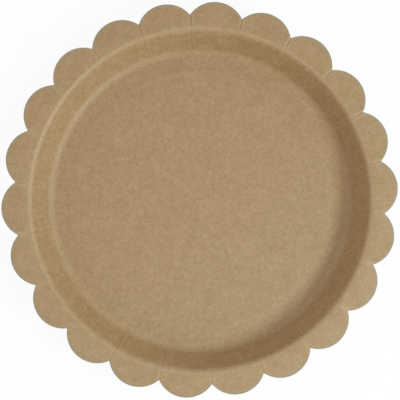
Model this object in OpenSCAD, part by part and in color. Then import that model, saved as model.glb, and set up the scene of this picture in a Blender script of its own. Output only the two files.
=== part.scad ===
// Scalloped paper plate, pressed in one stroke from a single die-cut sheet of kraft board.
// The base stands on z = 0 and the axis of the plate is Z. Lengths are millimetres, angles are degrees.

/* [Outline] */
// Diameter across the scallop tips
plate_d = 229; // [170:1:320]
// Number of scallops round the edge, with a pleat at every notch between them
scallop_count = 22; // [14:1:32]
// Depth of the notches below the scallop tips
notch_depth = 7.8; // [3:0.1:10]
// Width of the land that the die leaves at the bottom of each notch
notch_land = 0.4; // [0.2:0.05:1]
// Angle from the X axis to the first scallop tip
first_tip = 3.4; // [0:0.1:16]

/* [Section] */
// Thickness of the board
board_t = 0.5; // [0.35:0.05:0.8]
// Height of the rim's upper face above the table
plate_h = 17; // [13:0.5:26]
// Slope of the wall above the horizontal
wall_slope = 60; // [45:1:72]
// Radius of the bend from the base to the wall, on the upper face
foot_r = 6.2; // [3:0.1:8]
// Radius of the bend from the wall to the rim, on the upper face
shoulder_r = 4.4; // [2.5:0.1:6]
// Slope at which the shoulder bend hands over to the soft roll of the rim
roll_slope = 6; // [4:1:12]
// Radius of the soft roll that levels the rim out
roll_r = 46; // [20:1:60]
// Width of the level part of the rim at the scallop tips
rim_w = 9.4; // [6:0.1:16]

/* [Pleats] */
// Width of the crease of a pleat, from edge to edge
crease_w = 1.8; // [1.2:0.1:3]
// Depth of the crease below the face of the board
crease_depth = 0.28; // [0.15:0.01:0.35]

/* [Hidden] */
$fn = 180;

kraft_brown = "#AB906E";

// How far a cutting or joining shape passes the face that it works on
overlap = 1;

// Scallops: equal arcs through the tips that meet at the notches, each notch closed by a land on a circle
tip_r = plate_d / 2;
notch_r = tip_r - notch_depth;
pitch = 360 / scallop_count;
half_chord = notch_r * sin(pitch / 2);
scallop_rise = tip_r - notch_r * cos(pitch / 2);
scallop_r = (half_chord * half_chord + scallop_rise * scallop_rise) / (2 * scallop_rise);
scallop_ring_r = tip_r - scallop_r;
land_r = notch_r + notch_land / 2 * scallop_ring_r * sin(pitch / 2) / (notch_r - scallop_ring_r * cos(pitch / 2));

// Section: the corners of the upper face before they are rounded, from the rim inward to the foot
ROLL = [tip_r - rim_w - roll_r * tan(roll_slope / 2), plate_h];
SHOULDER = ROLL - (roll_r * tan(roll_slope / 2) + shoulder_r * tan((wall_slope - roll_slope) / 2)) * heading(roll_slope);
FOOT = SHOULDER - (SHOULDER[1] - board_t) / sin(wall_slope) * heading(wall_slope);

// Unit vectors along a slope and down out of it
function heading(slope) = [cos(slope), sin(slope)];
function below(slope) = [sin(slope), -cos(slope)];

// A corner between two slopes once both lines are moved down out of their face by a distance
function moved_corner(corner, slope_in, slope_out, distance) =
    corner + distance / cos((slope_out - slope_in) / 2) * below((slope_in + slope_out) / 2);

// The arc that rounds a corner runs past the straights by a hair, so that it crosses them
function crossing_r(radius) = radius / cos(1.5);

// What a convex corner has outside the arc that rounds it
module corner_tip(corner, slope_in, slope_out, radius) {
    reach = radius * tan((slope_in - slope_out) / 2);
    start = corner - reach * heading(slope_in);
    end = corner + reach * heading(slope_out);
    difference() {
        polygon([start, start - overlap * below(slope_in), moved_corner(corner, slope_in, slope_out, -overlap),
                 end - overlap * below(slope_out), end]);
        translate(moved_corner(corner, slope_in, slope_out, radius)) circle(crossing_r(radius));
    }
}

// Everything below the upper face, or below the face that lies at a depth under it
module below_face(depth) {
    foot = moved_corner(FOOT, 0, wall_slope, depth);
    shoulder = moved_corner(SHOULDER, wall_slope, roll_slope, depth);
    roll = moved_corner(ROLL, roll_slope, 0, depth);
    foot_reach = (foot_r + depth) * tan(wall_slope / 2);
    difference() {
        polygon([[0, -overlap], [0, foot[1]], foot - foot_reach * heading(0), foot + foot_reach * heading(wall_slope),
                 shoulder, roll, [tip_r + overlap, roll[1]], [tip_r + overlap, -overlap]]);
        translate(moved_corner(FOOT, 0, wall_slope, -foot_r)) circle(crossing_r(foot_r + depth));
        corner_tip(shoulder, wall_slope, roll_slope, shoulder_r - depth);
        corner_tip(roll, roll_slope, 0, roll_r - depth);
    }
}

// The pressed sheet before its edge is cut: the section of the board turned about the axis
module sheet() {
    rotate_extrude() difference() {
        below_face(0);
        below_face(board_t);
    }
}

// The die-cut outline, as a prism through the whole height
module scalloped_blank() {
    translate([0, 0, -overlap]) linear_extrude(plate_h + 2 * overlap) {
        circle(land_r);
        for (i = [0 : scallop_count - 1])
            rotate(first_tip + i * pitch) translate([scallop_ring_r, 0]) circle(scallop_r);
    }
}

// Line of a crease down the upper face, as straights of [start, slope, length] that touch the bends.
// On the wall it comes nearer to the face as it goes down, and leaves it at the foot.
bend_step = (wall_slope - roll_slope) / 2;
bend_slope = roll_slope + bend_step;
step_l = 2 * shoulder_r * tan(bend_step / 2);
SHOULDER_AXIS = moved_corner(SHOULDER, wall_slope, roll_slope, shoulder_r);
function bend_start(slope) = SHOULDER_AXIS - shoulder_r * below(slope) - step_l / 2 * heading(slope);
wall_top = SHOULDER - shoulder_r * tan(bend_step) * heading(wall_slope);
wall_foot = FOOT + foot_r * tan(wall_slope / 2) * heading(wall_slope);
wall_l = norm(wall_top - wall_foot);
fade_slope = wall_slope - atan(crease_depth / wall_l);
STRAIGHTS = [
    [wall_top - wall_l * heading(fade_slope), fade_slope, wall_l + step_l / 2],
    [bend_start(bend_slope), bend_slope, step_l],
    [bend_start(roll_slope), roll_slope, norm(ROLL - bend_start(roll_slope))],
    [ROLL, 0, tip_r - ROLL[0]]
];

// A shape across the crease, run along all its straights at the angle 0, each a little longer at both ends
module along_crease(shape, extra) {
    rotate([90, 0, 0])
        for (s = STRAIGHTS)
            translate(s[0]) rotate(s[1]) translate([-extra, 0, 0])
                rotate([0, 90, 0]) linear_extrude(s[2] + 2 * extra) polygon(shape);
}

// The same at every notch
module at_notches() {
    for (i = [0 : scallop_count - 1])
        rotate(first_tip + (i + 0.5) * pitch) children();
}

// Shapes across a crease: x across it, y out of the upper face. Both are the same fold, one board apart.
fold_slope = 2 * crease_depth / crease_w;
function fold_at(y) = [[0, -crease_depth], [(y + crease_depth) / fold_slope, y], [-(y + crease_depth) / fold_slope, y]];
CREASE = fold_at(crease_depth);
FOLD = [for (p = fold_at((board_t - crease_depth) / 2)) [p[0], p[1] - board_t]];

module scalloped_plate() {
    color(kraft_brown)
        intersection() {
            union() {
                difference() {
                    sheet();
                    at_notches() along_crease(CREASE, 0.2);
                }
                at_notches() along_crease(FOLD, 0.05);
            }
            scalloped_blank();
        }
}

scalloped_plate();
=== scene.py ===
"""Looks of a scalloped paper plate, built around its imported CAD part.

The file is laid out as an add-on: one operator presses the plate, one sets the stage, and a panel lists both.
Lengths are metres in the frame of the CAD part, where the plate stands on z = 0 and its axis is Z.
"""

import math
from collections import namedtuple

import bpy
import numpy as np
from bpy.props import FloatProperty, FloatVectorProperty, IntProperty, PointerProperty
from mathutils import Matrix, Vector


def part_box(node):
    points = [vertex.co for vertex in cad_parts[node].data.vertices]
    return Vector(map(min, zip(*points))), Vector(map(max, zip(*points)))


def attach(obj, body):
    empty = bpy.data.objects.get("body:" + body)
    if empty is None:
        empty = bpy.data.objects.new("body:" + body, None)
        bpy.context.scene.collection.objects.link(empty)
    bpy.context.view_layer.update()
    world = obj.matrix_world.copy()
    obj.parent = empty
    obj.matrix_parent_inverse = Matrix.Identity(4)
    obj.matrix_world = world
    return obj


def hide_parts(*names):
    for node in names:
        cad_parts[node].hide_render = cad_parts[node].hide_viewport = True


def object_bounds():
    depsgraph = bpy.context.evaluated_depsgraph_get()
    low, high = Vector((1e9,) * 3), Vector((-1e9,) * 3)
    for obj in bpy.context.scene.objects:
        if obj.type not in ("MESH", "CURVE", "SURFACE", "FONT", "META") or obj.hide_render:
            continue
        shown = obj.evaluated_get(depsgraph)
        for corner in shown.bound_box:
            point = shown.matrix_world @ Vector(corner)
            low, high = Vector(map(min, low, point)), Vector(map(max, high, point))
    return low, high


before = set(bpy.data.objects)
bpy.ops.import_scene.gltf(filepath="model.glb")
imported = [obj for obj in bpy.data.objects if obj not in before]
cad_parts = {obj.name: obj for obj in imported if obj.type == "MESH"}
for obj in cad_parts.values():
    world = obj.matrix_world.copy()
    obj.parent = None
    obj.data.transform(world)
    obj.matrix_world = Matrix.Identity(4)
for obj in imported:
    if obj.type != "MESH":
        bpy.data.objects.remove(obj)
CAD_LOW, CAD_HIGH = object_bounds()

bl_info = {
    "name": "Scalloped Paper Plate",
    "version": (1, 0, 0),
    "blender": (4, 5, 0),
    "location": "View3D > Sidebar > Paper Plate",
    "description": "Presses a kraft paper plate with a scalloped, pleated rim and sets a plain stage for it",
    "category": "Add Mesh",
}

PLATE_NODE = "scalloped_plate"
MM = 0.001


class PlateSizes(bpy.types.PropertyGroup):
    """Sizes of the pressed plate: those of the CAD part, and those of finer forms that it leaves out"""

    tip_radius: FloatProperty(
        name="Tip Radius",
        description="Distance from the axis to the scallop tips",
        default=114.5 * MM,
        unit="LENGTH",
    )
    scallops: IntProperty(
        name="Scallops",
        description="Number of scallops round the edge, with a pleat at every notch",
        default=22,
        min=12,
    )
    notch_depth: FloatProperty(
        name="Notch Depth",
        description="Depth of the notches below the scallop tips",
        default=7.8 * MM,
        unit="LENGTH",
    )
    notch_land: FloatProperty(
        name="Notch Land",
        description="Width of the land at the bottom of each notch",
        default=0.4 * MM,
        unit="LENGTH",
    )
    first_tip: FloatProperty(
        name="First Tip",
        description="Angle from the X axis to the first scallop tip",
        default=math.radians(3.4),
        subtype="ANGLE",
    )
    board: FloatProperty(
        name="Board",
        description="Thickness of the board",
        default=0.5 * MM,
        unit="LENGTH",
    )
    height: FloatProperty(
        name="Height",
        description="Height of the rim's upper face above the table",
        default=CAD_HIGH.z,
        unit="LENGTH",
    )
    base_rise: FloatProperty(
        name="Base Rise",
        description="How far the middle of the base stands above the ring that it rests on",
        default=0.22 * MM,
        unit="LENGTH",
    )
    ring_width: FloatProperty(
        name="Ring Width",
        description="Width of the ring that the base rests on, up to the middle of its step",
        default=6.6 * MM,
        unit="LENGTH",
    )
    wall_slope: FloatProperty(
        name="Wall Slope",
        description="Slope of the wall above the horizontal",
        default=math.radians(60),
        subtype="ANGLE",
    )
    foot_radius: FloatProperty(
        name="Foot Radius",
        description="Radius of the bend from the base to the wall",
        default=6.2 * MM,
        unit="LENGTH",
    )
    shoulder_radius: FloatProperty(
        name="Shoulder Radius",
        description="Radius of the bend from the wall to the rim",
        default=4.4 * MM,
        unit="LENGTH",
    )
    roll_slope: FloatProperty(
        name="Roll Slope",
        description="Slope at which the shoulder hands over to the soft roll of the rim",
        default=math.radians(6),
        subtype="ANGLE",
    )
    roll_radius: FloatProperty(
        name="Roll Radius",
        description="Radius of the soft roll that levels the rim out",
        default=46.0 * MM,
        unit="LENGTH",
    )
    rim_width: FloatProperty(
        name="Rim Width",
        description="Width of the level part of the rim at the scallop tips",
        default=9.4 * MM,
        unit="LENGTH",
    )
    punch_offset: FloatVectorProperty(
        name="Punch Offset",
        description="How far the base, which the punch presses, lies off the middle of the die-cut outline",
        default=(0.26 * MM, -0.21 * MM),
        size=2,
        unit="LENGTH",
    )
    die_offset: FloatVectorProperty(
        name="Die Offset",
        description="How far the shoulder, which the die presses, lies off the middle of the die-cut outline",
        default=(0.32 * MM, -0.70 * MM),
        size=2,
        unit="LENGTH",
    )
    crease_depth: FloatProperty(
        name="Crease Depth",
        description="Depth of a pleat's crease below the face of the board",
        default=0.18 * MM,
        unit="LENGTH",
    )
    crease_width: FloatProperty(
        name="Crease Width",
        description="Width over which a crease falls away",
        default=0.34 * MM,
        unit="LENGTH",
    )
    crest_height: FloatProperty(
        name="Crest Height",
        description="Height of the two crests that a pleat raises beside its crease",
        default=0.065 * MM,
        unit="LENGTH",
    )
    crest_offset: FloatProperty(
        name="Crest Offset",
        description="Distance from the crease to each crest",
        default=1.25 * MM,
        unit="LENGTH",
    )
    lip_height: FloatProperty(
        name="Lip Height",
        description="Height of the fine lip that the press leaves along the shoulder",
        default=0.04 * MM,
        unit="LENGTH",
    )
    waviness: FloatProperty(
        name="Waviness",
        description="How far the rim strays from level",
        default=0.12 * MM,
        unit="LENGTH",
    )


class BoardLooks(bpy.types.PropertyGroup):
    """Colours and finish of the kraft board"""

    board_colour: FloatVectorProperty(
        name="Board",
        description="Mean colour of the pressed face",
        default=(0.3490, 0.2280, 0.0964),
        subtype="COLOR",
    )
    # Warm patches also take the painted warmth of the base and of the warmer side, a tint of the light there
    warm_colour: FloatVectorProperty(
        name="Warm Patches",
        description="Colour that the board drifts to in its redder clouds",
        default=(0.3680, 0.2190, 0.0969),
        subtype="COLOR",
    )
    dark_fibre: FloatVectorProperty(
        name="Dark Fibres",
        description="Colour of the dark fibres in the board",
        default=(0.212, 0.1255, 0.0270),
        subtype="COLOR",
    )
    pale_fibre: FloatVectorProperty(
        name="Pale Fibres",
        description="Colour of the pale fibres in the board",
        default=(0.492, 0.333, 0.174),
        subtype="COLOR",
    )
    edge_colour: FloatVectorProperty(
        name="Cut Edge",
        description="Colour of the edge that the die cuts",
        default=(0.293, 0.243, 0.153),
        subtype="COLOR",
    )
    roughness: FloatProperty(
        name="Roughness",
        description="Roughness of the pressed face",
        default=0.597,
        min=0.0,
        max=1.0,
        subtype="FACTOR",
    )


class StageLooks(bpy.types.PropertyGroup):
    """Light and camera of the plain stage"""

    key_power: FloatProperty(
        name="Key Power",
        description="Power of the soft key lamp",
        default=4.54,
        unit="POWER",
    )
    key_distance: FloatProperty(
        name="Key Distance",
        description="Distance from the plate to the key lamp",
        default=0.92,
        unit="LENGTH",
    )
    key_size: FloatProperty(
        name="Key Size",
        description="Diameter of the key lamp",
        default=0.257,
        unit="LENGTH",
    )
    key_azimuth: FloatProperty(
        name="Key Azimuth",
        description="Direction of the key lamp round the axis, from +X",
        default=math.radians(334.6),
        subtype="ANGLE",
    )
    key_elevation: FloatProperty(
        name="Key Elevation",
        description="Height of the key lamp above the horizon",
        default=math.radians(38.8),
        subtype="ANGLE",
    )
    key_colour: FloatVectorProperty(
        name="Key Colour",
        description="Colour of the key lamp's light",
        default=(0.87, 1.046, 1.078),
        subtype="COLOR",
    )
    ambient: FloatProperty(
        name="Ambient",
        description="Strength of the even light from all round",
        default=0.66,
    )
    ambient_colour: FloatVectorProperty(
        name="Ambient Colour",
        description="Colour of the even light from all round",
        default=(1.03, 0.962, 0.926),
        subtype="COLOR",
    )
    ambient_lean: FloatVectorProperty(
        name="Ambient Lean",
        description="How much stronger the light from all round is towards +X and +Y",
        default=(-0.08, -0.09),
        size=2,
    )
    camera_distance: FloatProperty(
        name="Camera Distance",
        description="Distance from the camera to the middle of the rim",
        default=0.500,
        unit="LENGTH",
    )
    camera_tilt: FloatProperty(
        name="Camera Tilt",
        description="Lean of the camera from straight above",
        default=math.radians(2.92),
        subtype="ANGLE",
    )
    camera_azimuth: FloatProperty(
        name="Camera Azimuth",
        description="Direction that the camera leans to, from +X",
        default=math.radians(235.4),
        subtype="ANGLE",
    )
    lens: FloatProperty(
        name="Lens",
        description="Focal length on a 36 mm sensor",
        default=78.14,
        subtype="DISTANCE_CAMERA",
    )


# Section of the plate, from the axis outward along the upper face

# Share of the base's radius at which the first row round its middle lies
HUB = 0.035
# Step from the raised middle of the base to its resting ring: half its width, and its rows in shares of it
STEP_HALF = 1.6 * MM
STEP_ROWS = (-1.5, -0.75, -0.25, 0.25, 0.75, 1.5)
# Rows on each bend and on the wall, and the rows of the level rim as shares of its width
FOOT_STEPS = 9
WALL_STEPS = 7
SHOULDER_STEPS = 9
ROLL_STEPS = 6
RIM_STEPS = (0.18, 0.38, 0.58, 0.77, 0.92, 1.0)
# Share of the foot bend at which the pleats begin to come out of the face
PLEAT_START = 0.35

# A row of the mesh along the upper face: where it lies, its slope, how far the pleats show in it,
# and how far it follows the press, which lies off the middle of the die-cut outline
Row = namedtuple("Row", "radius height slope pleated pressed", defaults=(1.0,))


def smooth_step(share):
    """Soft step from 0 to 1"""
    share = min(max(share, 0.0), 1.0)
    return share * share * (3 - 2 * share)


class Section:
    """The board's upper face as rows of the mesh, from the middle to the end of the rim's roll"""

    def __init__(self, sizes):
        wall, roll = sizes.wall_slope, sizes.roll_slope
        foot_rise = sizes.foot_radius * (1 - math.cos(wall))
        shoulder_rise = sizes.shoulder_radius * (math.cos(roll) - math.cos(wall))
        roll_rise = sizes.roll_radius * (1 - math.cos(roll))
        wall_rise = sizes.height - sizes.board - foot_rise - shoulder_rise - roll_rise
        if wall_rise <= 0:
            raise ValueError("the plate is too low for its bends")
        self.roll_end = sizes.tip_radius - sizes.rim_width
        self.shoulder_end = self.roll_end - sizes.roll_radius * math.sin(roll)
        wall_top = self.shoulder_end - sizes.shoulder_radius * (math.sin(wall) - math.sin(roll))
        wall_foot = wall_top - wall_rise / math.tan(wall)
        self.base_radius = wall_foot - sizes.foot_radius * math.sin(wall)
        self.step = self.base_radius - sizes.ring_width
        self.rows = []
        self._base(sizes)
        self._foot(sizes)
        wall_low = sizes.board + foot_rise
        self._wall(wall_foot, wall_top, wall_low, wall_rise, wall)
        self._arc(wall_top, wall_low + wall_rise, wall, roll, sizes.shoulder_radius, SHOULDER_STEPS)
        self._arc(self.shoulder_end, sizes.height - roll_rise, roll, 0.0, sizes.roll_radius, ROLL_STEPS)

    def _base(self, sizes):
        self.rows.append(Row(HUB * self.base_radius, sizes.board + sizes.base_rise, 0.0, 0.0))
        for share in STEP_ROWS:
            rise = sizes.base_rise * (1 - smooth_step((1 + share) / 2))
            self.rows.append(Row(self.step + share * STEP_HALF, sizes.board + rise, 0.0, 0.0))
        self.rows.append(Row(self.base_radius, sizes.board, 0.0, 0.0))

    def _foot(self, sizes):
        for i in range(1, FOOT_STEPS + 1):
            share = i / FOOT_STEPS
            slope = sizes.wall_slope * share
            radius = self.base_radius + sizes.foot_radius * math.sin(slope)
            height = sizes.board + sizes.foot_radius * (1 - math.cos(slope))
            pleated = smooth_step((share - PLEAT_START) / (1 - PLEAT_START))
            self.rows.append(Row(radius, height, slope, pleated))

    def _wall(self, start, end, height, rise, slope):
        for i in range(1, WALL_STEPS + 1):
            share = i / WALL_STEPS
            self.rows.append(Row(start + (end - start) * share, height + rise * share, slope, 1.0))

    def _arc(self, start, height, slope_in, slope_out, radius, steps):
        for i in range(1, steps + 1):
            slope = slope_in + (slope_out - slope_in) * i / steps
            out = start + radius * (math.sin(slope_in) - math.sin(slope))
            up = height + radius * (math.cos(slope) - math.cos(slope_in))
            self.rows.append(Row(out, up, slope, 1.0))


# The pressed board

SEED = 22
# Columns of the mesh lie close together at the pleats: distances from a notch as shares of half a scallop
HALF_SCALLOP = (
    0.0, 0.013, 0.026, 0.039, 0.053, 0.068, 0.084, 0.101, 0.119, 0.138, 0.158, 0.179,
    0.201, 0.224, 0.248, 0.274, 0.305, 0.345, 0.41, 0.52, 0.67, 0.84, 1.0,
)
# How far in from the outline the level rim has its last row
RIM_END = 1.7 * MM
# Rounding of the cut edge: how far in from the outline and down from the face a row lies, and how raw it is
EDGE_ROUNDING = (
    (1.2 * MM, 0.0, 0.6), (0.75 * MM, 0.0, 0.9), (0.35 * MM, 0.0, 1.0),
    (0.18 * MM, 0.012 * MM, 1.0), (0.05 * MM, 0.07 * MM, 1.0), (0.0, 0.18 * MM, 1.0),
)

# Tables round the plate: direction in degrees, and the value there
# How deep the press bites into the pleats of the rim, which also sets how much painted shade their creases
# get
PRESS_BITE = (
    (0, 0.30), (25, 1.10), (60, 1.25), (110, 1.20), (130, 0.90), (150, 0.50),
    (225, 0.40), (257, 0.60), (275, 0.45), (295, 0.05), (340, 0.05),
)
# How deep it bites into the creases of the wall, which also sets how much painted shade they get
WALL_BITE = (
    (0, 0.7), (25, 0.45), (75, 0.45), (100, 1.0), (125, 0.7), (175, 0.9),
    (207, 0.5), (240, 1.1), (257, 1.1), (280, 0.5), (330, 0.5),
)
# How pale the pleats of the rim are, round the plate
PALE_PLEATS = (
    (11, 1.1), (30, 0.0), (100, 0.0), (126, 0.3), (158, 1.1), (175, 0.3), (191, 1.5), (207, 1.3),
    (224, 0.4), (270, 0.0), (289, 0.1), (306, 0.9), (322, 1.5), (338, 1.5), (355, 0.6),
)
# How far inside the end of the shoulder bend its pale line lies, a painted highlight along the shoulder
PAINTED_HIGHLIGHT_INSET = (
    (20, 1.2 * MM), (70, 0.7 * MM), (110, 0.7 * MM), (145, 1.4 * MM),
    (190, 1.45 * MM), (230, 1.1 * MM), (270, 0.4 * MM), (300, 1.2 * MM),
)

# Reach to both sides of the pale lines (the painted highlight of the shoulder and the line round the step)
# and of the pale lines on the pleats
PALE_LINE_REACH = 0.7 * MM
PALE_PLEAT_REACH = 1.3 * MM
# How pale the inner edge of the base's step is against the line of the shoulder
STEP_PALENESS = 0.2
# How far inside the end of the shoulder bend the crest of its lip lies, and its reach to both sides
LIP_INSET = 1.1 * MM
LIP_REACH = 0.8 * MM
# The lip smooths the creases out: how much of them it takes, and its reach to both sides
SMOOTHED = 0.85
SMOOTH_REACH = 1.3 * MM
# Width over which a crease of the wall hands over to the crease of the rim
HAND_OVER = 2.0 * MM

# How pleats differ: lowest and highest of their depths, reach down the wall, width and crests
RIM_DEPTHS = (0.85, 1.15)
WALL_DEPTHS = (0.6, 1.2)
WALL_REACHES = (0.35, 1.0)
WIDTHS = (0.8, 1.2)
CRESTS = (0.5, 1.5)
# How far a crease strays to a side by the foot of the wall
LEAN = 0.5 * MM
# How sharply a crease ends down the wall
WALL_END = 4
# Share of a crest that a deeper bite adds to, its reach as a share of its offset, and its share on the wall
CREST_BITE = 0.4
CREST_REACH = 0.48
WALL_CREST = 0.45
# Fine side pleats on the wall: how many on each side of a crease, their distances from it and their depths
SIDE_PLEATS = 2
SIDE_PLACES = (1.5 * MM, 4.0 * MM)
SIDE_DEPTHS = (0.05, 0.5)
# Their width against that of the crease, and how fast they begin below the rim
SIDE_WIDTH = 0.8
SIDE_START = 3
# How wide they spread at the rim, and how much of that is lost by the foot
SIDE_SPREAD = 1.25
SPREAD_LOSS = 0.5

# Painted light across the plate: the side with painted shade, the side painted warmer, and how far the warm
# base reaches
PAINTED_SHADE_SIDE = math.radians(46)
WARM_SIDE = math.radians(110)
WARM_FADE = 6.0 * MM
# Warmth of the rim, and what the base has more
RIM_WARMTH = -0.24
BASE_WARMTH = 0.54
# Gain of warmth towards the warmer side on the rim, and what the base has more
RIM_WARMING = 0.26
BASE_WARMING = 0.76
# Lobes round the rim, the share of the waviness that each one takes, and how late it grows towards the edge
RIM_WAVES = (2, 3, 5, 7)
WAVE_SHARES = (0.45, 0.30, 0.15, 0.10)
WAVE_GROWTH = 1.5


def by_direction(table, angle):
    """Value of a table round the plate at each angle"""
    return np.interp(np.degrees(angle), *zip(*table), period=360)


def hump(distance, reach):
    """1 on a line, and less away from it to both sides"""
    return np.exp(-((distance / reach) ** 2))


class PressedPlate:
    """Vertices and masks of the pressed board, row by row"""

    def __init__(self, sizes):
        self.sizes = sizes
        self.section = Section(sizes)
        self._columns()
        self._pleats(np.random.default_rng(SEED))

    def _columns(self):
        """Angle of each column, its notch, its angle past that notch and the radius of its cut edge"""
        sizes = self.sizes
        half = math.pi / sizes.scallops
        shares = [-s for s in reversed(HALF_SCALLOP[1:-1])] + list(HALF_SCALLOP)
        self.past_notch = np.tile(np.array(shares) * half, sizes.scallops)
        self.notch = np.repeat(np.arange(sizes.scallops), len(shares))
        self.angle = sizes.first_tip + (2 * self.notch + 1) * half + self.past_notch
        notch_radius = sizes.tip_radius - sizes.notch_depth
        chord = notch_radius * math.sin(half)
        rise = sizes.tip_radius - notch_radius * math.cos(half)
        scallop = (chord * chord + rise * rise) / (2 * rise)
        ring = sizes.tip_radius - scallop
        off_tip = half - np.abs(self.past_notch)
        edge = ring * np.cos(off_tip) + np.sqrt(scallop ** 2 - (ring * np.sin(off_tip)) ** 2)
        widening = ring * math.sin(half) / (notch_radius - ring * math.cos(half))
        self.edge_radius = np.maximum(edge, notch_radius + sizes.notch_land / 2 * widening)

    def _pleats(self, chance):
        """Small differences from pleat to pleat"""
        count = self.sizes.scallops
        turn = self.sizes.first_tip + (2 * np.arange(count) + 1) * math.pi / count
        bite = by_direction(PRESS_BITE, turn)
        crest_gain = 1 - CREST_BITE + CREST_BITE * bite
        self.pleat_depth = chance.uniform(*RIM_DEPTHS, count) * bite
        self.wall_depth = chance.uniform(*WALL_DEPTHS, count) * by_direction(WALL_BITE, turn)
        self.wall_reach = chance.uniform(*WALL_REACHES, count)
        self.pleat_width = chance.uniform(*WIDTHS, count)
        self.crest_left = chance.uniform(*CRESTS, count) * crest_gain
        self.crest_right = chance.uniform(*CRESTS, count) * crest_gain
        self.lean = chance.uniform(-LEAN, LEAN, count)
        self.side_place = chance.uniform(*SIDE_PLACES, (2 * SIDE_PLEATS, count))
        self.side_depth = chance.uniform(*SIDE_DEPTHS, (2 * SIDE_PLEATS, count))
        self.wave_turn = chance.uniform(0, 2 * math.pi, len(RIM_WAVES))
        self.pale_pleat = by_direction(PALE_PLEATS, turn)
        self.painted_highlight_inset = by_direction(PAINTED_HIGHLIGHT_INSET, self.angle)

    def side_creases(self, across, inward, width):
        """Depth of the fine side pleats of the wall"""
        deepest = 0.0
        on_wall = np.clip(SIDE_START * inward, 0, 1)
        spread = SIDE_SPREAD - SPREAD_LOSS * inward
        for i in range(2 * SIDE_PLEATS):
            side = 1 if i % 2 else -1
            off_line = across - side * self.side_place[i][self.notch] * spread
            fine = hump(off_line, SIDE_WIDTH * width) * self.side_depth[i][self.notch]
            deepest = np.maximum(deepest, fine * on_wall)
        return deepest

    def pleat(self, radius, pleated):
        """Lift of the face by the pleats at a radius, and the masks of crease, crests and pale pleat line"""
        sizes, section, notch = self.sizes, self.section, self.notch
        inward = np.clip((section.roll_end - radius) / (section.roll_end - section.base_radius), 0, 1)
        across = radius * self.past_notch - self.lean[notch] * inward
        width = sizes.crease_width * self.pleat_width[notch]
        past_lip = radius - section.shoulder_end
        rim = np.clip(past_lip / HAND_OVER, 0, 1)
        down = np.clip(-past_lip / (section.shoulder_end - section.base_radius), 0, 1)
        wall_depth = self.wall_depth[notch] / (1 + (down / self.wall_reach[notch]) ** WALL_END)
        depth = wall_depth * (1 - rim) + self.pleat_depth[notch] * rim
        depth = depth * (1 - SMOOTHED * hump(past_lip, SMOOTH_REACH))
        crease = np.maximum(hump(across, width) * depth, self.side_creases(across, inward, width)) * pleated
        crest = hump(np.abs(across) - sizes.crest_offset, CREST_REACH * sizes.crest_offset) * pleated
        crest = crest * np.where(across < 0, self.crest_left[notch], self.crest_right[notch])
        crest = crest * (WALL_CREST + (1 - WALL_CREST) * rim)
        lip = hump(past_lip + LIP_INSET, LIP_REACH)
        lift = sizes.crest_height * crest - sizes.crease_depth * crease + sizes.lip_height * lip
        pale_pleat = hump(across, PALE_PLEAT_REACH) * np.sqrt(rim) * self.pale_pleat[notch]
        return lift, crease, crest, pale_pleat

    def drift(self, radius):
        """How much painted shade and how much painted warmth the board gets at a radius, from -1 to 1"""
        out = radius / self.sizes.tip_radius
        base = np.clip(1 - (radius - self.section.base_radius) / WARM_FADE, 0, 1)
        dark = out * np.cos(self.angle - PAINTED_SHADE_SIDE)
        warming = (RIM_WARMING + BASE_WARMING * base) * out * np.cos(self.angle - WARM_SIDE)
        return dark, RIM_WARMTH + BASE_WARMTH * base + warming

    def wave(self, radius):
        """Slow rise and fall of the board, none on the base and most at the rim"""
        base = self.section.base_radius
        share = np.clip((radius - base) / (self.sizes.tip_radius - base), 0, 1)
        total = 0.0
        for lobes, part, turn in zip(RIM_WAVES, WAVE_SHARES, self.wave_turn):
            total = total + part * np.cos(lobes * self.angle + turn)
        return self.sizes.waviness * share ** WAVE_GROWTH * (total - 1.0)

    def press_shift(self, row):
        """How far out the press, which lies off the middle, moves each vertex of a row"""
        sizes = self.sizes
        lifted = (row.height - sizes.board) / (sizes.height - sizes.board)
        offset = np.array(sizes.punch_offset) * (1 - lifted) + np.array(sizes.die_offset) * lifted
        return row.pressed * (offset[0] * np.cos(self.angle) + offset[1] * np.sin(self.angle))

    def painted_highlight_and_pale_lines(self, radius):
        """Pale lines: a painted highlight along the shoulder, and a pale line round the step of the base"""
        shoulder = hump(radius - self.section.shoulder_end + self.painted_highlight_inset, PALE_LINE_REACH)
        step = hump(radius - self.section.step + STEP_HALF, PALE_LINE_REACH)
        return shoulder + STEP_PALENESS * step

    def face_row(self, row, depth, raw):
        """One row of vertices at a depth below the upper face, with its masks"""
        radius = np.broadcast_to(row.radius, self.angle.shape)
        lift, crease, crest, pale_pleat = self.pleat(radius, row.pleated)
        out = radius - math.sin(row.slope) * (lift - depth) + self.press_shift(row)
        up = row.height + math.cos(row.slope) * (lift - depth) + self.wave(radius)
        dark, warm = self.drift(radius)
        return {
            "place": np.stack([out * np.cos(self.angle), out * np.sin(self.angle), up], axis=1),
            "crease": crease,
            "crest": crest,
            "cut_edge": np.full(len(radius), raw),
            # Pale lines with the shoulder's painted highlight, on the upper face only
            "painted_highlight_and_pale_lines": (self.painted_highlight_and_pale_lines(radius) + pale_pleat) * (depth == 0),
            "dark": dark,
            "warm": warm,
        }

    def build(self):
        """All rows from the middle of the upper face round the cut edge to the middle of the underside"""
        sizes, start = self.sizes, self.section.roll_end
        upper = list(self.section.rows)
        for share in RIM_STEPS:
            radius = start + share * (self.edge_radius - RIM_END - start)
            upper.append(Row(radius, sizes.height, 0.0, 1.0, 1.0 - share))
        cut = []
        for inset, drop, raw in EDGE_ROUNDING:
            cut.append((Row(self.edge_radius - inset, sizes.height, 0.0, 1.0, 0.0), drop, raw))
        rows = [self.face_row(row, 0.0, 0.0) for row in upper]
        rows += [self.face_row(row, drop, raw) for row, drop, raw in cut]
        rows += [self.face_row(row, sizes.board - drop, raw) for row, drop, raw in reversed(cut)]
        rows += [self.face_row(row, sizes.board, 0.0) for row in reversed(upper)]
        return rows


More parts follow.
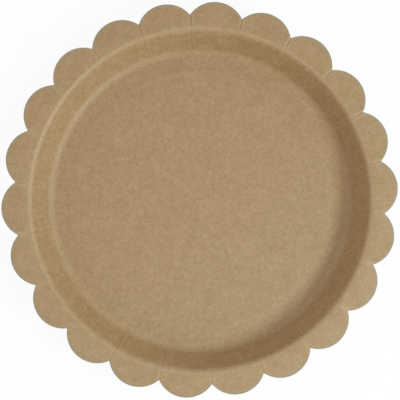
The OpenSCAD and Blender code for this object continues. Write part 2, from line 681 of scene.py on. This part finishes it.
def grid_faces(row_count, column_count, first_hub, last_hub):
    """Quads between the rows, closed round the axis, and a fan at each end"""
    faces = []
    for row in range(row_count - 1):
        near, far = row * column_count, (row + 1) * column_count
        for column in range(column_count):
            after = (column + 1) % column_count
            faces.append((near + column, far + column, far + after, near + after))
    last = (row_count - 1) * column_count
    for column in range(column_count):
        after = (column + 1) % column_count
        faces.append((first_hub, column, after))
        faces.append((last_hub, last + after, last + column))
    return faces


# Masks on the mesh that the board's material reads
MASKS = ("crease", "crest", "cut_edge", "painted_highlight_and_pale_lines", "dark", "warm")


def plate_mesh(sizes):
    """The plate as one closed mesh with the masks that its material reads"""
    plate = PressedPlate(sizes)
    rows = plate.build()
    columns = len(plate.angle)
    hubs = np.array([[0.0, 0.0, sizes.board + sizes.base_rise], [0.0, 0.0, sizes.base_rise]])
    places = np.concatenate([row["place"] for row in rows] + [hubs])
    hub = len(rows) * columns
    mesh = bpy.data.meshes.new(PLATE_NODE)
    mesh.from_pydata(places.tolist(), [], grid_faces(len(rows), columns, hub, hub + 1))
    mesh.validate()
    for name in MASKS:
        values = np.concatenate([row[name] for row in rows] + [np.zeros(len(hubs))])
        layer = mesh.attributes.new(name, "FLOAT", "POINT")
        layer.data.foreach_set("value", values.astype(np.float32))
    mesh.shade_smooth()
    return mesh


# Shader building


def add_node(tree, kind, place, **values):
    """A node at a place in the tree, with its input sockets set by name"""
    made = tree.nodes.new(kind)
    made.location = place
    for name, value in values.items():
        made.inputs[name.replace("_", " ").title()].default_value = value
    return made


def link(tree, source, target):
    tree.links.new(source, target)


def feed(tree, target, value):
    """Links a socket to an input, or sets the input to a plain value"""
    if isinstance(value, bpy.types.NodeSocket):
        link(tree, value, target)
    else:
        target.default_value = value


# Sockets of a Mix node that mixes colours
MIX_FACTOR, MIX_FIRST, MIX_SECOND = 0, 6, 7
MIX_RESULT = 2


def mix_colour(tree, place, factor, first, second, blend="MIX"):
    """A colour mix whose inputs are sockets or plain values; gives back its result socket"""
    made = add_node(tree, "ShaderNodeMix", place)
    made.data_type = "RGBA"
    made.blend_type = blend
    feed(tree, made.inputs[MIX_FACTOR], factor)
    for socket, colour in ((MIX_FIRST, first), (MIX_SECOND, second)):
        plain = not isinstance(colour, bpy.types.NodeSocket)
        feed(tree, made.inputs[socket], (*colour, 1.0) if plain else colour)
    return made.outputs[MIX_RESULT]


def maths(tree, place, operation, *values):
    """A Math node whose inputs are sockets or numbers; gives back its result socket"""
    made = add_node(tree, "ShaderNodeMath", place)
    made.operation = operation
    for target, value in zip(made.inputs, values):
        feed(tree, target, value)
    return made.outputs[0]


def vector_maths(tree, place, operation, *values):
    """A Vector Math node whose inputs are sockets or vectors"""
    made = add_node(tree, "ShaderNodeVectorMath", place)
    made.operation = operation
    for target, value in zip(made.inputs, values):
        feed(tree, target, value)
    return made


def noise(tree, place, vector, scale, detail, roughness=0.5):
    """A noise texture; gives back its node"""
    made = add_node(tree, "ShaderNodeTexNoise", place, scale=scale, detail=detail, roughness=roughness)
    link(tree, vector, made.inputs["Vector"])
    return made


def noise_gain(tree, place, vector, scale, detail, roughness, strength):
    """A noise texture as a gain about 1"""
    factor = noise(tree, place, vector, scale, detail, roughness).outputs[0]
    return maths(tree, (place[0] + 200, place[1]), "MULTIPLY_ADD", factor, strength, 1 - strength / 2)


def mask(tree, place, name):
    """One of the mesh's masks; gives back its factor socket"""
    made = add_node(tree, "ShaderNodeAttribute", place)
    made.attribute_name = name
    return made.outputs["Fac"]


# Inputs of the fibre group, with the values that it starts from
FIBRE_INPUTS = {"Direction": 0.0, "Fineness": 900.0, "Slenderness": 0.12, "Cover": 0.6}
# Fibres don't lie straight: noise scale and detail of their sway, and how wide it is
SWAY_NOISE = (240.0, 1.0)
SWAY = 3.0 * MM
# Noise detail and roughness of the strands, and how softly a fibre's edge fades
STRAND_NOISE = (2.0, 0.55)
FIBRE_FADE = 0.14


def fibre_group():
    """Shader node group: a mask of short fibres that lie along one direction"""
    group = bpy.data.node_groups.new("Board Fibres", "ShaderNodeTree")
    for name, default in FIBRE_INPUTS.items():
        socket = group.interface.new_socket(name=name, in_out="INPUT", socket_type="NodeSocketFloat")
        socket.default_value = default
    group.interface.new_socket(name="Mask", in_out="OUTPUT", socket_type="NodeSocketFloat")
    given = add_node(group, "NodeGroupInput", (-900, 0)).outputs
    place = add_node(group, "ShaderNodeTexCoord", (-1700, 250)).outputs["Object"]
    sway = noise(group, (-1500, 400), place, *SWAY_NOISE).outputs["Color"]
    bend = vector_maths(group, (-1300, 300), "MULTIPLY_ADD", sway, (SWAY, SWAY, SWAY), place)
    turn = add_node(group, "ShaderNodeVectorRotate", (-680, 200))
    turn.rotation_type = "Z_AXIS"
    link(group, bend.outputs["Vector"], turn.inputs["Vector"])
    link(group, given["Direction"], turn.inputs["Angle"])
    scales = add_node(group, "ShaderNodeCombineXYZ", (-460, -60))
    along = maths(group, (-680, -60), "MULTIPLY", given["Fineness"], given["Slenderness"])
    for target, scale in zip(scales.inputs, (along, given["Fineness"], given["Fineness"])):
        link(group, scale, target)
    stretch = vector_maths(group, (-260, 120), "MULTIPLY", turn.outputs["Vector"], scales.outputs["Vector"])
    strands = noise(group, (-60, 120), stretch.outputs["Vector"], 1.0, *STRAND_NOISE).outputs[0]
    sharp = add_node(group, "ShaderNodeMapRange", (160, 60))
    sharp.interpolation_type = "SMOOTHSTEP"
    link(group, strands, sharp.inputs["Value"])
    link(group, given["Cover"], sharp.inputs["From Min"])
    full = maths(group, (-60, -160), "ADD", given["Cover"], FIBRE_FADE)
    link(group, full, sharp.inputs["From Max"])
    leave = add_node(group, "NodeGroupOutput", (500, 0))
    link(group, sharp.outputs["Result"], leave.inputs["Mask"])
    return group


def fibre_layers(tree, place, group, layers):
    """Two layers of fibres over each other; gives back their common mask"""
    masks = []
    for i, layer in enumerate(layers):
        made = add_node(tree, "ShaderNodeGroup", (place[0], place[1] - 200 * i))
        made.node_tree = group
        for name, value in zip(FIBRE_INPUTS, layer):
            made.inputs[name].default_value = value
        masks.append(made.outputs["Mask"])
    return maths(tree, (place[0] + 400, place[1]), "MAXIMUM", *masks)


# Redder clouds of the pulp: noise scale and detail, and how far the painted warmth of the base and the warm
# side moves them
WARM_CLOUDS = (120.0, 3.0)
WARM_MASK = 0.5
# Unevenness of the pulp at three scales: noise scale, detail and roughness, and how far it moves the tone
CLOUDS = (90.0, 3.0, 0.5, 0.22)
MOTTLE = (330.0, 3.0, 0.6, 0.72)
GRAIN = (1000.0, 3.0, 0.7, 1.0)
# How much of that each channel takes: a pale spot is also a little greyer, and a dark one browner
GRAIN_SHARES = {"Red": 0.82, "Green": 1.0, "Blue": 1.75}
# Painted shade: loss of tone from the middle of the plate to its darker side
PAINTED_SHADE_LOSS = 0.062
# Layers of fibres: direction, fineness, slenderness and cover
DARK_FIBRES = ((0.5, 1500.0, 0.20, 0.60), (2.1, 1700.0, 0.24, 0.61))
PALE_FIBRES = ((1.2, 1600.0, 0.18, 0.60), (2.8, 1400.0, 0.22, 0.61))
# How much of its own colour each kind of mark puts on the board
DARK_FIBRE_COVER = 0.16
PALE_FIBRE_COVER = 0.20
# A crease takes the dark fibres' colour: painted shade in the fold, partly the darker crushed board of the
# fold
CREASE_COVER = 0.32
# A crest takes the pale fibres' colour: a painted highlight on the crest
CREST_COVER = 0.24
# The pale lines take the pale fibres' colour: a painted highlight along the shoulder, and pale lines round
# the step and on the pleats
PALE_LINE_COVER = 0.30
EDGE_COVER = 0.85
# How much the mottle adds to the roughness, and how much a crest takes from it
MOTTLE_ROUGHNESS = 0.8
CREST_POLISH = 0.08
GLOSS_LEVEL = 1.0
GLOSS_TINT = (1.0, 0.99, 0.94, 1.0)
# Relief: how far pale fibres rise and dark ones sink against the grain, and the bump's strength and depth
PALE_RISE = 0.10
DARK_SINK = 0.08
RELIEF_STRENGTH = 0.35
RELIEF_DEPTH = 0.1 * MM


def pulp(tree, place, looks):
    """Colour of the pulp with the painted shade and painted warmth across the plate, and its mottle and grain
    as gains about 1
    """
    drift = noise(tree, (-1300, 500), place, *WARM_CLOUDS).outputs[0]
    # The warm mask adds painted warmth, a tint of the light, to the pulp's own redder clouds
    warmth = maths(tree, (-1100, 650), "MULTIPLY_ADD", mask(tree, (-1300, 700), "warm"), WARM_MASK, drift)
    colour = mix_colour(tree, (-900, 500), warmth, looks.board_colour, looks.warm_colour)
    cloud = noise_gain(tree, (-1300, 300), place, *CLOUDS)
    mottle = noise_gain(tree, (-1300, 120), place, *MOTTLE)
    grain = noise_gain(tree, (-1300, -60), place, *GRAIN)
    tone = maths(tree, (-900, 250), "MULTIPLY", cloud, mottle)
    tone = maths(tree, (-750, 200), "MULTIPLY", tone, grain)
    # Painted shade towards the darker side of the plate
    tone = maths(tree, (-600, 350), "MULTIPLY_ADD", mask(tree, (-900, 420), "dark"), -PAINTED_SHADE_LOSS, tone)
    stray = maths(tree, (-600, 150), "SUBTRACT", tone, 1.0)
    gain = add_node(tree, "ShaderNodeCombineColor", (-300, 200))
    for channel, share in GRAIN_SHARES.items():
        link(tree, maths(tree, (-450, 200), "MULTIPLY_ADD", stray, share, 1.0), gain.inputs[channel])
    colour = mix_colour(tree, (-150, 400), 1.0, colour, gain.outputs["Color"], "MULTIPLY")
    return colour, mottle, grain


def board_material(looks):
    """Kraft board: uneven pulp with painted shade and warmth across the plate, dark and pale fibres, painted
    shade in the creases, painted highlights on the crests and the shoulder, pale lines, and a raw cut edge
    """
    material = bpy.data.materials.new("kraft_board")
    material.use_nodes = True
    tree = material.node_tree
    shader = tree.nodes["Principled BSDF"]
    shader.location = (1100, 0)
    tree.nodes["Material Output"].location = (1400, 0)
    place = add_node(tree, "ShaderNodeTexCoord", (-1500, 0)).outputs["Object"]
    group = fibre_group()
    colour, mottle, grain = pulp(tree, place, looks)
    dark = fibre_layers(tree, (-900, -250), group, DARK_FIBRES)
    pale = fibre_layers(tree, (-900, -650), group, PALE_FIBRES)
    # Masks of the marks: painted shade in the creases, a painted highlight on the crests, pale lines with the
    # shoulder's painted highlight, and the raw cut edge
    crease = mask(tree, (-300, 800), "crease")
    crest = mask(tree, (-300, 1000), "crest")
    painted_highlight_and_pale_lines = mask(tree, (-300, 1200), "painted_highlight_and_pale_lines")
    cut_edge = mask(tree, (-300, 1400), "cut_edge")
    marks = (
        (dark, DARK_FIBRE_COVER, looks.dark_fibre),
        (pale, PALE_FIBRE_COVER, looks.pale_fibre),
        (crease, CREASE_COVER, looks.dark_fibre),
        (crest, CREST_COVER, looks.pale_fibre),
        (painted_highlight_and_pale_lines, PALE_LINE_COVER, looks.pale_fibre),
        (cut_edge, EDGE_COVER, looks.edge_colour),
    )
    for i, (mark, cover, mark_colour) in enumerate(marks):
        left = 50 + 160 * i
        strength = maths(tree, (left, 600), "MULTIPLY", mark, cover)
        colour = mix_colour(tree, (left, 400), strength, colour, mark_colour)
    link(tree, colour, shader.inputs["Base Color"])

    uneven = maths(tree, (300, -150), "SUBTRACT", mottle, 1.0)
    rough = maths(tree, (500, -150), "MULTIPLY_ADD", uneven, MOTTLE_ROUGHNESS, looks.roughness)
    rough = maths(tree, (700, -150), "MULTIPLY_ADD", crest, -CREST_POLISH, rough)
    link(tree, rough, shader.inputs["Roughness"])
    shader.inputs["Specular IOR Level"].default_value = GLOSS_LEVEL
    shader.inputs["Specular Tint"].default_value = GLOSS_TINT

    relief = maths(tree, (-100, -650), "MULTIPLY_ADD", pale, PALE_RISE, grain)
    relief = maths(tree, (100, -650), "MULTIPLY_ADD", dark, -DARK_SINK, relief)
    bump = add_node(tree, "ShaderNodeBump", (700, -600), strength=RELIEF_STRENGTH, distance=RELIEF_DEPTH)
    link(tree, relief, bump.inputs["Height"])
    link(tree, bump.outputs["Normal"], shader.inputs["Normal"])
    return material


# The plate's radius may differ by this from half its CAD solid's width, where no tip need lie
RADIUS_SLACK = 1.5 * MM


class PLATE_OT_press(bpy.types.Operator):
    """Press the scalloped plate from one sheet of kraft board, in place of its CAD solid"""

    bl_idname = "paper_plate.press"
    bl_label = "Press Plate"

    def execute(self, context):
        sizes = context.scene.plate_sizes
        low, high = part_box(PLATE_NODE)
        if abs((high.x - low.x) / 2 - sizes.tip_radius) > RADIUS_SLACK:
            raise RuntimeError("the plate's radius is not that of its CAD solid")
        plate = bpy.data.objects.new("pressed_plate", plate_mesh(sizes))
        context.scene.collection.objects.link(plate)
        plate.data.materials.append(board_material(context.scene.board_looks))
        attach(plate, "root")
        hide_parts(PLATE_NODE)
        return {"FINISHED"}


# The stage

FLOOR_HALF = 2.0
FLOOR_DROP = 0.05 * MM
FLOOR_COLOUR = (0.90, 0.90, 0.90, 1.0)
WHITE = (1.0, 1.0, 1.0, 1.0)
# How much of the floor's look, as the camera sees it, is even white; the rest is lit floor with shadow
EVEN_WHITE = 0.93


def background_rays(tree, place):
    """1 for rays that show a backdrop: from the camera, or by way of gloss or glass"""
    rays = add_node(tree, "ShaderNodeLightPath", place).outputs
    left, top = place
    seen = maths(tree, (left + 200, top), "MAXIMUM", rays["Is Camera Ray"], rays["Is Glossy Ray"])
    return maths(tree, (left + 400, top), "MAXIMUM", seen, rays["Is Transmission Ray"])


def blend_shaders(tree, share, lit, white, output):
    """Links a blend of a lit shader and an even white one to an output"""
    blend = add_node(tree, "ShaderNodeMixShader", (250, 0))
    for target, source in zip(blend.inputs, (share, lit.outputs[0], white.outputs[0])):
        link(tree, source, target)
    link(tree, blend.outputs[0], output.inputs["Surface"])


def floor_material():
    """Pale floor that the camera sees as nearly even white with a faint shadow"""
    material = bpy.data.materials.new("pale_floor")
    material.use_nodes = True
    tree = material.node_tree
    tree.nodes.remove(tree.nodes["Principled BSDF"])
    matt = add_node(tree, "ShaderNodeBsdfDiffuse", (-200, 0), color=FLOOR_COLOUR)
    white = add_node(tree, "ShaderNodeEmission", (-200, -200), color=WHITE, strength=1.0)
    share = maths(tree, (-200, 250), "MULTIPLY", background_rays(tree, (-800, 250)), EVEN_WHITE)
    blend_shaders(tree, share, matt, white, tree.nodes["Material Output"])
    return material


def lay_floor(scene):
    """A wide floor just under the plate"""
    mesh = bpy.data.meshes.new("pale_floor")
    sides = ((-1, -1), (1, -1), (1, 1), (-1, 1))
    corners = [(x * FLOOR_HALF, y * FLOOR_HALF, -FLOOR_DROP) for x, y in sides]
    mesh.from_pydata(corners, [], [(0, 1, 2, 3)])
    floor = bpy.data.objects.new("pale_floor", mesh)
    floor.data.materials.append(floor_material())
    scene.collection.objects.link(floor)


def surround(scene, stage):
    """Light from all round, a little stronger from one side, and seen as white"""
    world = bpy.data.worlds.new("studio_light")
    world.use_nodes = True
    scene.world = world
    tree = world.node_tree
    light = tree.nodes["Background"]
    light.inputs["Color"].default_value = (*stage.ambient_colour, 1.0)
    towards = add_node(tree, "ShaderNodeTexCoord", (-600, -100)).outputs["Generated"]
    slant = [stage.ambient * share for share in (*stage.ambient_lean, 0.0)]
    lean = vector_maths(tree, (-400, -100), "DOT_PRODUCT", towards, slant).outputs["Value"]
    link(tree, maths(tree, (-200, -100), "ADD", lean, stage.ambient), light.inputs["Strength"])
    white = add_node(tree, "ShaderNodeBackground", (0, -200), color=WHITE, strength=1.0)
    blend_shaders(tree, background_rays(tree, (-600, 300)), light, white, tree.nodes["World Output"])


def direction(azimuth, elevation):
    """Unit vector towards a point of the sky"""
    level = math.cos(elevation)
    return Vector((math.cos(azimuth) * level, math.sin(azimuth) * level, math.sin(elevation)))


def hang_key(scene, stage):
    """The round key lamp that throws the rim's soft shadow on the base"""
    data = bpy.data.lights.new("key_lamp", "AREA")
    data.shape = "DISK"
    data.size = stage.key_size
    data.energy = stage.key_power
    data.color = stage.key_colour
    lamp = bpy.data.objects.new("key_lamp", data)
    towards = direction(stage.key_azimuth, stage.key_elevation)
    lamp.location = towards * stage.key_distance
    lamp.rotation_euler = towards.to_track_quat("Z", "Y").to_euler()
    scene.collection.objects.link(lamp)


# Width of the picture, and where the middle of the rim stands right of and above its centre, in pixels
PICTURE = 400
RIM_IN_PICTURE = (0.95, 2.10)
SENSOR = 36.0


def picture_axes(back):
    """Right and up in a picture that is taken from a direction, with +Y at its top"""
    right = Vector((0, 1, 0)).cross(back).normalized()
    return right, back.cross(right)


def set_camera(scene, stage, rim_height):
    """The camera above the plate, leaning a little to one side"""
    data = bpy.data.cameras.new("camera")
    data.sensor_width = SENSOR
    data.lens = stage.lens
    camera = bpy.data.objects.new("camera", data)
    back = direction(stage.camera_azimuth, math.pi / 2 - stage.camera_tilt)
    right, up = picture_axes(back)
    rim = Vector((0, 0, rim_height))
    eye = rim + back * stage.camera_distance
    pixel = SENSOR / stage.lens * stage.camera_distance / PICTURE
    aim = rim - (right * RIM_IN_PICTURE[0] + up * RIM_IN_PICTURE[1]) * pixel
    back = (eye - aim).normalized()
    turn = Matrix((*picture_axes(back), back)).transposed().to_4x4()
    camera.matrix_world = Matrix.Translation(eye) @ turn
    scene.collection.objects.link(camera)
    scene.camera = camera


class PLATE_OT_stage(bpy.types.Operator):
    """Lay a pale floor, light the plate from one side and set the camera above it"""

    bl_idname = "paper_plate.stage"
    bl_label = "Set Stage"

    def execute(self, context):
        scene = context.scene
        scene.view_settings.view_transform = "Standard"
        lay_floor(scene)
        surround(scene, scene.stage_looks)
        hang_key(scene, scene.stage_looks)
        set_camera(scene, scene.stage_looks, scene.plate_sizes.height)
        return {"FINISHED"}


class PLATE_PT_panel(bpy.types.Panel):
    """Lists the plate's steps with the sizes and colours that they use"""

    bl_idname = "PLATE_PT_panel"
    bl_label = "Paper Plate"
    bl_space_type = "VIEW_3D"
    bl_region_type = "UI"
    bl_category = "Paper Plate"

    def draw(self, context):
        column = self.layout.column()
        steps = (("plate_sizes", None), ("board_looks", PLATE_OT_press), ("stage_looks", PLATE_OT_stage))
        for holder, step in steps:
            group = getattr(context.scene, holder)
            for name in group.__annotations__:
                column.prop(group, name)
            if step:
                column.operator(step.bl_idname)


CLASSES = (PlateSizes, BoardLooks, StageLooks, PLATE_OT_press, PLATE_OT_stage, PLATE_PT_panel)


def register():
    for cls in CLASSES:
        bpy.utils.register_class(cls)
    bpy.types.Scene.plate_sizes = PointerProperty(type=PlateSizes)
    bpy.types.Scene.board_looks = PointerProperty(type=BoardLooks)
    bpy.types.Scene.stage_looks = PointerProperty(type=StageLooks)


def unregister():
    del bpy.types.Scene.stage_looks
    del bpy.types.Scene.board_looks
    del bpy.types.Scene.plate_sizes
    for cls in reversed(CLASSES):
        bpy.utils.unregister_class(cls)


def main():
    register()
    bpy.ops.paper_plate.press()
    bpy.ops.paper_plate.stage()


if __name__ == "__main__":
    main()
